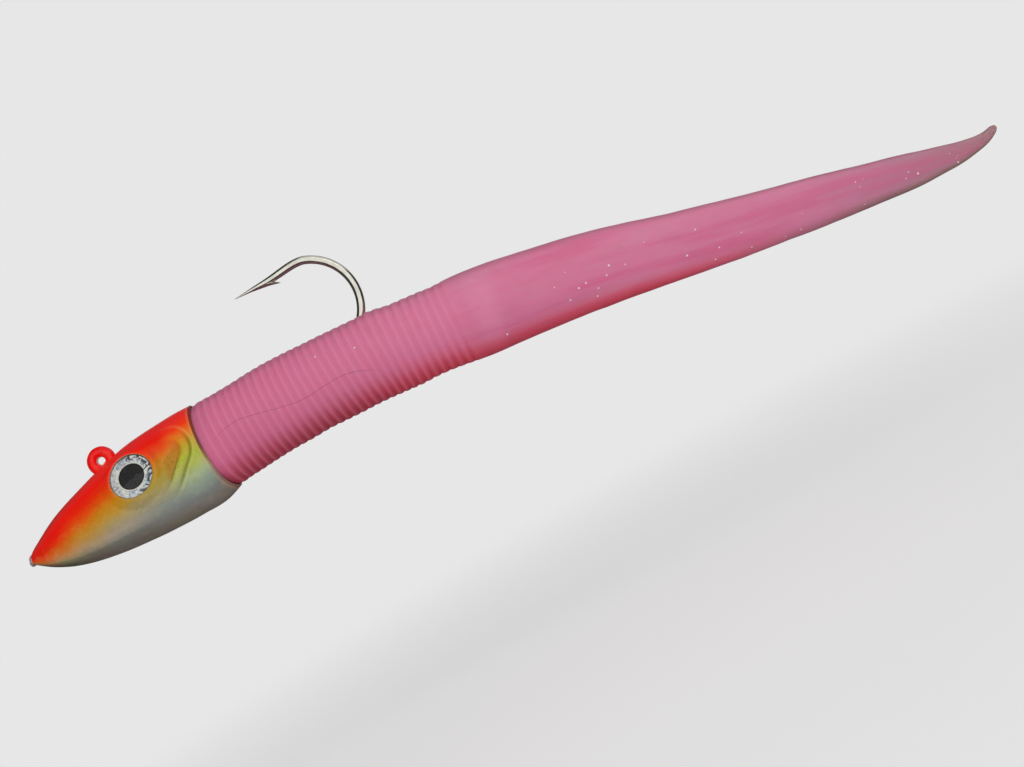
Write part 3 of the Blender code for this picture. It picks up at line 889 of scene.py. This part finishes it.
def make_eye(side, foil_finish, resin):
    name = "left" if side == LEFT else "right"
    top, foot = FOIL_HEIGHT, -0.17
    profile = [(0.5, top), (EYE_R - 0.04, top), (EYE_R, top - 0.05)]
    profile += [(EYE_R, foot + 0.05), (EYE_R - 0.05, foot), (0.5, foot)]
    mesh = turned_mesh(name + "_eye_disc", profile, Matrix.Identity(4), 128)
    local = np.array([v.co for v in mesh.vertices]) / MM
    local[:, 0] *= -side
    local[:, 2] = 0.0
    disc = mesh.attributes.new("disc", "FLOAT_VECTOR", "POINT")
    disc.data.foreach_set("vector", local.astype(np.float32).ravel())
    mesh.transform(eye_matrix(side))
    foil = add_piece(name + "_eye_disc", mesh, foil_finish)
    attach(foil, "root")
    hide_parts(name + "_eye_foil")

    base = FOIL_HEIGHT + 0.03
    edge = base + LENS_EDGE
    radius = (EYE_R**2 + LENS_DOME**2) / (2 * LENS_DOME)
    middle = edge + LENS_DOME - radius
    profile = []
    for i in range(1, 25):
        angle = math.asin((EYE_R - 0.12) / radius) * i / 24
        profile.append((radius * math.sin(angle), middle + radius * math.cos(angle)))
    profile += [(EYE_R, edge - 0.1), (EYE_R, base + 0.06), (EYE_R - 0.06, base), (0.5, base)]
    mesh = turned_mesh(name + "_eye_dome", profile, eye_matrix(side), 128)
    lens = add_piece(name + "_eye_dome", mesh, resin)
    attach(lens, "root")
    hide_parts(name + "_eye_lens")


# ---------------- hook


def hook_rows():
    """The wire's middle line from inside the head to the tip: x, z, radius."""
    bend_z = SHANK_Z + BEND_R
    rows = [(x, SHANK_Z, WIRE_R) for x in (24.0, 34.0, 44.0, 54.0, 64.0)]
    for i in range(41):
        angle = math.radians(-90 + (90 + BEND_END) * i / 40)
        rows.append((BEND_X + BEND_R * math.cos(angle), bend_z + BEND_R * math.sin(angle), WIRE_R))
    return rows + [(x, z, WIRE_R * share) for x, z, share in POINT]


def make_hook(steel):
    rows = np.array(hook_rows())
    spans = np.concatenate([[0.0], np.cumsum(np.hypot(*np.diff(rows[:, :2], axis=0).T))])
    curve = Curve(spans, rows)
    angles = full_turn(40)
    rings = []
    for s in np.linspace(0, spans[-1], 300):
        x, z, radius = curve.at(s)
        ahead, behind = curve.at(min(s + 0.05, spans[-1])), curve.at(max(s - 0.05, 0.0))
        along = np.array([ahead[0] - behind[0], ahead[1] - behind[1]])
        along /= np.hypot(*along)
        forged = smooth(x, 78.0, 84.0) * smooth(z, -2.0, 2.0) + smooth(z, 12.0, 18.0)
        forged = min(forged, 1.0)
        side, out = superellipse(angles, 2.0 + 0.25 * forged)
        out = out * radius
        rings.append(np.stack([x - along[1] * out, side * radius, z + along[0] * out], axis=-1))
    hook = add_piece("tinned_hook", skin("tinned_hook", np.array(rings)), steel)
    boolean(hook, barb_mesh(), "UNION")
    finish_mesh(hook.data, 35)
    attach(hook, "root")
    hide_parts("jig_hook")


def barb_mesh():
    """The barb, lifted from the wire's inner side: a wedge that ends in a point towards the bend."""
    rows = (  # x, z, half height, half width
        (59.0, 20.6, 0.12, 0.2),
        (61.5, 20.35, 0.34, 0.6),
        (64.2, 20.05, 0.5, 0.9),
        (66.2, 19.7, 0.54, 0.95),
        (67.4, 19.2, 0.38, 0.7),
        (68.3, 18.75, 0.22, 0.42),
        (68.95, 18.4, 0.06, 0.12),
    )
    curve = Curve([row[0] for row in rows], rows)
    angles = full_turn(24)
    across, up = superellipse(angles, 1.5)
    rings = []
    for x in np.linspace(rows[0][0], rows[-1][0], 50):
        _, z, half_height, half_width = curve.at(x)
        rise = up * half_height
        rings.append(np.stack([x + rise * 0.3, across * half_width, z + rise], axis=-1))
    return skin("barb", np.array(rings))


def make_ring(paint):
    """The line-tie ring in its thick coat of paint, with the fillet where it leaves the head."""
    turns, sides = 120, 48
    rings = []
    for i in range(turns):
        a = 2 * math.pi * i / turns
        sunk = smooth(-math.sin(a), 0.2, 1.0)
        runs = 0.05 * noise.noise(Vector((math.cos(a) * 2, 0, math.sin(a) * 2)))
        tube = WIRE_R + RING_COAT + 0.12 * sunk + runs
        ring = []
        for k in range(sides):
            b = 2 * math.pi * k / sides
            r = RING_R + 0.05 + tube * math.cos(b)
            ring.append((r * math.cos(a), tube * math.sin(b), r * math.sin(a)))
        rings.append(ring)
    points = np.array(rings).reshape(-1, 3) * MM
    faces = []
    for i in range(turns):
        faces += quads(i * sides, (i + 1) % turns * sides, sides)
    mesh = bpy.data.meshes.new("painted_line_tie")
    mesh.from_pydata(points.tolist(), [], faces)
    ring = add_piece("painted_line_tie", finish_mesh(mesh), paint)
    angles = full_turn(64)
    fillet = []
    for share in np.linspace(0.0, 1.0, 24):
        flare = (1 - share) ** 3
        half_x, half_y = 3.9 + 2.2 * flare, 1.3 + 1.7 * flare
        z = -3.4 + 2.5 * share
        across, along = superellipse(angles, 2.4)
        lift = (along * half_x) * 0.25
        fillet.append(np.stack([along * half_x + 0.2, across * half_y, z + lift], axis=-1))
    boolean(ring, skin("fillet", np.array(fillet)), "UNION")
    hole = [(RING_HOLE_R, 4.0), (RING_HOLE_R, -4.0)]
    turn = Matrix.Rotation(math.pi / 2, 4, "X")
    boolean(ring, turned_mesh("hole", hole, turn, 64), "DIFFERENCE")
    soften(ring, 0.16, 3)
    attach(ring, "root")


def soften(piece, voxel, rounds):
    """Remakes a small piece's skin evenly and rounds off where its parts meet."""
    remesh = piece.modifiers.new("Remesh", "REMESH")
    remesh.mode = "VOXEL"
    remesh.voxel_size = voxel * MM
    relax = piece.modifiers.new("Relax", "SMOOTH")
    relax.factor = 0.5
    relax.iterations = rounds
    apply_modifiers(piece)
    finish_mesh(piece.data, 80)


# ---------------- soft body

body_lengths = np.concatenate(
    [[0.0], np.cumsum(np.hypot(*np.diff(np.array(BODY_ROWS)[:, :2], axis=0).T))]
)
body_curve = Curve(body_lengths, BODY_ROWS)
BODY_LENGTH = body_lengths[-1]


SLACK = (  # length, how far the back and the belly stand out from the moulded outline
    (0, 0, 0), (7, -0.4, 0.2), (13, -0.3, 0), (19, 0.1, -0.15), (25, 0.3, -0.15), (31, 0.1, -0.15),
    (37, -0.1, 0.1), (43, 0, 0.2), (49, 0, 0.05), (55, 0.3, 0.2), (61, -0.15, 0.25), (67, -0.05, -0.15),
    (73, -0.1, -0.1), (79, 0.3, 0.25), (91, 0.15, 0), (97, -0.05, -0.15), (112, 0.1, 0.1), (133, -0.2, 0),
    (157, 0.2, 0.1), (175, 0, -0.1), (187, 0, 0), (199, -0.05, -0.2), (217, 0.25, 0.2), (223, 0.35, 0.1),
    (235, 0.1, 0), (245, 0, 0),
)
slack_curve = Curve([row[0] for row in SLACK], [row[1:] for row in SLACK])


def body_frame(length):
    x, z, half_height, half_width = body_curve.at(length)
    ahead, behind = body_curve.at(length + 0.01), body_curve.at(length - 0.01)
    along = np.array([ahead[0] - behind[0], 0.0, ahead[1] - behind[1]])
    along /= np.linalg.norm(along)
    return np.array([x, 0.0, z]), along, np.array([-along[2], 0.0, along[0]]), half_height, half_width


def body_power(length):
    return BODY_POWER + (TAIL_POWER - BODY_POWER) * float(smooth(length, 85.0, 130.0))


def body_ring(length, angles, offset):
    """A section of the eel, drawn in or out by offset, and each point's rest place.

    Its front end has the head's own section, a little smaller, so that it fits inside the head's rear lip.
    """
    centre, along, up, half_height, half_width = body_frame(length)
    y, z = superellipse(angles, body_power(length))
    back, belly = slack_curve.at(min(max(length, 0.0), SLACK[-1][0]))
    slack = np.where(z > 0, back, belly) * np.abs(z)
    y, rise = y * (half_width + offset), z * (half_height + offset + slack)
    socket, _ = head_ring(REAR, angles, BODY_TUCK - offset)
    tucked = float(smooth(length, TUCK_LENGTH, 0.0))
    y = y + (socket[:, 1] - y) * tucked
    rise = rise + (socket[:, 2] - BODY_ROWS[0][1] - rise) * tucked
    points = centre + rise[:, None] * up
    points[:, 1] += y
    fade = np.clip(1 - length / CUP_LENGTH, 0, 1) ** 2
    points = points - along * (face_shift(points[:, 2]) * fade)[:, None]
    return points, np.stack([length + 0 * y, y, rise], axis=-1)


def rib_height(length, height):
    """0 in a groove and 1 on a rib's crest, for points at a length and heights from -1 to 1."""
    lean = RIB_LEAN * smooth(length, 22.0, 42.0) * (1 - 0.5 * smooth(length, 50.0, 62.0))
    share = (length + lean * height - FIRST_GROOVE) / (LAST_GROOVE - FIRST_GROOVE)
    index = share * GROOVES + RIB_SWAY * np.sin(np.pi * np.clip(share, 0, 1))
    ribbed = 1 - np.abs(2 * (index % 1.0) - 1) ** 2.2
    return np.where(share < 0, 0.0, np.where(index > GROOVES + 0.5, 1.0, ribbed))


def rib_depth(length, height):
    """The ribs are deepest along the belly and the back, and shallow on the flanks and at both ends."""
    edge = 0.3 + 0.7 * smooth(np.abs(height), 0.45, 0.95) + 0.15 * smooth(height, -0.3, -0.9)
    ends = (0.8 + 0.2 * smooth(length, 4.0, 16.0)) * (1 - 0.45 * smooth(length, 64.0, 76.0))
    return RIB_DEPTH * edge * ends


def soft_rings(lengths, offset_at):
    """Rings of points along the eel, with their rest places, heights from -1 to 1 and rib heights."""
    angles = full_turn(160)
    rings, places, heights, ribs = [], [], [], []
    for length in lengths:
        _, height = superellipse(angles, body_power(length))
        rib = rib_height(length, height)
        offset = offset_at(length) - rib_depth(length, height) * (1 - rib)
        ring, place = body_ring(length, angles, offset)
        rings.append(ring)
        places.append(place)
        heights.append(height)
        ribs.append(rib)
    rings = np.array(rings)
    flat = rings.reshape(-1, 3)
    lump = lumps(flat, 17.0, 3) * 0.17 + lumps(flat, 5.0, 4) * 0.04
    ends = smooth(np.array(lengths), 0.0, 6.0)[:, None, None]
    rings = rings + grid_normals(rings) * lump.reshape(rings.shape[0], -1, 1) * ends
    return rings, {"place": np.array(places), "height": np.array(heights), "rib": np.array(ribs)}


def make_ribbed_body(plastic):
    lengths = np.linspace(-1.3, SEAM, 440)
    rings, attributes = soft_rings(lengths, lambda length: -0.25 * smooth(length, 1.0, -0.4))
    body = add_piece("ribbed_body", skin("ribbed_body", rings, attributes), plastic)
    bend_at_flex(body)
    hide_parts("soft_body_front")


def make_smooth_tail(plastic):
    lengths = list(np.linspace(SEAM, BODY_LENGTH - TIP_LENGTH, 190))
    lengths += [BODY_LENGTH - TIP_LENGTH * (1 - i / 24) ** 1.8 for i in range(1, 25)]

    def offset_at(length):
        _, _, _, half_height, half_width = body_frame(length)
        tip = min(max((BODY_LENGTH - length) / TIP_ROUND, 0.0), 1.0)
        return -(1 - math.sqrt(1 - (1 - tip) ** 2)) * min(half_height, half_width) * 0.92

    rings, attributes = soft_rings(lengths, offset_at)
    tail = add_piece("smooth_tail", skin("smooth_tail", rings, attributes), plastic)
    bend_at_sweep(tail)
    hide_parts("soft_tail_base", "soft_tail_end")


def bend_at_flex(piece):
    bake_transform(piece)


def bend_at_sweep(piece):
    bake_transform(piece)


# ---------------- glitter

MORE_FLAKES = 46  # small ones, scattered over both sides
FLAKES = (  # length and height share of the flakes that catch the light on the left side
    (37.9, 0.53), (48.7, 0.33), (88.9, -0.73), (108.9, -0.54), (112.2, -0.34), (114.5, -0.28),
    (117.5, -0.5), (116.6, -0.68), (122.1, -0.04), (120.7, -0.26), (144.0, -0.4), (153.3, -0.46),
    (151.5, -0.77), (162.2, -0.78), (148.2, 0.28), (197.8, -0.31), (196.3, 0.0), (177.0, -0.79),
    (209.5, -0.32), (213.2, -0.29), (225.1, -0.73),
)


def flake(working, length, share, side, size, turn):
    """A six-sided flake that lies in the skin, showing its face."""
    centre, _, up, half_height, half_width = body_frame(length)
    power = body_power(length)
    y = (1 - abs(share) ** power) ** (1 / power)
    middle = centre + up * share * half_height + np.array([0, side * y * half_width, 0])
    out = up * np.sign(share) * abs(share) ** (power - 1) / half_height
    out = out + np.array([0, side * y ** (power - 1) / half_width, 0])
    out = Vector(out).normalized()
    facing = out.to_track_quat("Z", "Y").to_matrix().to_4x4() @ Matrix.Rotation(turn, 4, "Z")
    matrix = Matrix.Translation((Vector(middle) + out * 0.09) * MM) @ facing
    bmesh.ops.create_cone(
        working, cap_ends=True, segments=6, radius1=size * 0.7 * MM, radius2=size * 0.5 * MM,
        depth=0.14 * MM, matrix=matrix,
    )


def make_glitter(finish):
    """Flakes on the ribbed body and on the tail, as one piece for each."""
    chance = random.Random(5)
    flakes = [(length, share, LEFT, chance.uniform(0.34, 0.5)) for length, share in FLAKES]
    for _ in range(MORE_FLAKES):
        side = chance.choice((LEFT, RIGHT, RIGHT))
        length = chance.uniform(20.0, 228.0) if side == RIGHT else chance.uniform(95.0, 228.0)
        flakes.append((length, chance.uniform(-0.85, 0.35), side, chance.uniform(0.14, 0.34)))
    spans = (("body_glitter", 0.0, SEAM, bend_at_flex), ("tail_glitter", SEAM, BODY_LENGTH, bend_at_sweep))
    for name, low, high, bend in spans:
        working = bmesh.new()
        for length, share, side, size in flakes:
            if low < length < high:
                flake(working, length, share, side, size, chance.uniform(0, 1))
        mesh = bpy.data.meshes.new(name)
        working.to_mesh(mesh)
        working.free()
        piece = add_piece(name, mesh, finish)
        bend(piece)


# ---------------- stage, lights and camera

PALE = 0.8  # the backdrop's grey, which the floor fades into
FLOOR_GLOW = 0.28
FLOOR_R = 6.0
FLOOR_DROP = 0.07  # metres below the lure
FLOOR_FADE = (0.12, 0.5)  # from where to where the floor turns into the backdrop
AMBIENT = 0.37
MIRRORED = 0.06  # the dim room that glossy surfaces mirror away from the lamps
LAMP_AWAY = 0.9  # metres
KEY_TILT = 16.0
KEY_POWER = 7.0
BACK_POWER = 1.0
CARD_TILT = 82.0
CARD_POWER = 3.5  # a card above the lure, seen only in the wire and the gloss
VIEW_ROLL = math.radians(30)
VIEW_RIGHT = Vector((math.cos(VIEW_ROLL), 0.0, -math.sin(VIEW_ROLL)))
VIEW_UP = Vector((math.sin(VIEW_ROLL), 0.0, math.cos(VIEW_ROLL)))
VIEW_BACK = Vector((0.0, -1.0, 0.0))
CAMERA_LENS = 45.7  # millimetres
CAMERA_AWAY = 0.3676  # metres from the lure's middle plane
CAMERA_AHEAD = -0.0061  # metres from the middle of the lure's box
CAMERA_BELOW = 0.0258


def make_stage():
    """A pale floor below the lure, which fades into the backdrop all round."""
    middle = (cad_middle.x, cad_middle.y, cad_low.z - FLOOR_DROP)
    bpy.ops.mesh.primitive_circle_add(vertices=96, radius=FLOOR_R, fill_type="NGON", location=middle)
    floor = bpy.context.object
    floor.name = "floor"
    f = Finish("pale_floor")
    place = f.add("TexCoord").outputs["Object"]
    distance = f.add("VectorMath", {0: place}, operation="LENGTH").outputs["Value"]
    tone = f.noise(place, 30.0, 3.0)
    f.set(Base_Color=f.mix(f.times(tone, 0.1), (0.8, 0.8, 0.8, 1), (0.72, 0.72, 0.72, 1)))
    f.set(Roughness=0.9, Specular_IOR_Level=0.1)
    f.set(Emission_Color=(1, 1, 1, 1), Emission_Strength=FLOOR_GLOW)
    glow = f.add("Emission", {"Color": (PALE, PALE, PALE, 1), "Strength": 1.0}).outputs[0]
    f.blended(f.step(distance, *FLOOR_FADE), f.shader.outputs[0], glow)
    floor.data.materials.append(f.material)
    floor.visible_diffuse = False
    floor.visible_glossy = False


def make_world():
    """A grey surround that lights the lure, dimmer in its gloss and pale behind it."""
    world = bpy.data.worlds.new("surround")
    world.use_nodes = True
    nodes, links = world.node_tree.nodes, world.node_tree.links
    path = nodes.new("ShaderNodeLightPath")
    nodes["Background"].inputs[0].default_value = (AMBIENT, AMBIENT, AMBIENT, 1)
    surround = nodes["Background"].outputs[0]
    for ray, grey in (("Is Glossy Ray", MIRRORED), ("Is Camera Ray", PALE)):
        background, mixed = nodes.new("ShaderNodeBackground"), nodes.new("ShaderNodeMixShader")
        background.inputs[0].default_value = (grey, grey, grey, 1)
        links.new(path.outputs[ray], mixed.inputs[0])
        links.new(surround, mixed.inputs[1])
        links.new(background.outputs[0], mixed.inputs[2])
        surround = mixed.outputs[0]
    links.new(surround, nodes["World Output"].inputs[0])
    bpy.context.scene.world = world


def area_light(name, direction, size, power):
    """A lamp that faces the middle of the lure from that direction."""
    data = bpy.data.lights.new(name, "AREA")
    data.shape = "RECTANGLE"
    data.size, data.size_y = size
    data.energy = power
    lamp = bpy.data.objects.new(name, data)
    direction = direction.normalized()
    lamp.location = cad_middle + direction * LAMP_AWAY
    lamp.rotation_euler = direction.to_track_quat("Z", "Y").to_euler()
    lamp.visible_camera = False
    bpy.context.scene.collection.objects.link(lamp)
    return lamp


def make_lights():
    tilt, high = math.radians(KEY_TILT), math.radians(CARD_TILT)
    front, above = VIEW_BACK * math.cos(tilt), VIEW_UP * math.sin(tilt)
    area_light("key", front + above, (1.6, 1.2), KEY_POWER)
    area_light("back", above - front, (1.2, 0.8), BACK_POWER)
    overhead = VIEW_BACK * math.cos(high) + VIEW_UP * math.sin(high)
    card = area_light("card", overhead, (1.6, 1.0), CARD_POWER)
    card.visible_diffuse = False


def make_camera():
    data = bpy.data.cameras.new("camera")
    data.lens = CAMERA_LENS
    data.clip_start, data.clip_end = 0.01, 20.0
    camera = bpy.data.objects.new("camera", data)
    spot = Vector((cad_middle.x + CAMERA_AHEAD, -CAMERA_AWAY, cad_middle.z - CAMERA_BELOW))
    turn = Matrix((VIEW_RIGHT, VIEW_UP, VIEW_BACK)).transposed().to_4x4()
    camera.matrix_world = Matrix.Translation(spot) @ turn
    bpy.context.scene.collection.objects.link(camera)
    bpy.context.scene.camera = camera


def main():
    make_head(head_paint(), bare_lead())
    foil, resin = eye_foil(), clear_resin()
    make_eye(LEFT, foil, resin)
    make_eye(RIGHT, foil, resin)
    make_hook(hook_steel())
    make_ring(ring_paint())
    plastic = soft_plastic()
    make_ribbed_body(plastic)
    make_smooth_tail(plastic)
    make_glitter(glitter())
    make_stage()
    make_world()
    make_lights()
    make_camera()
    bpy.context.scene.view_settings.view_transform = "Standard"


main()
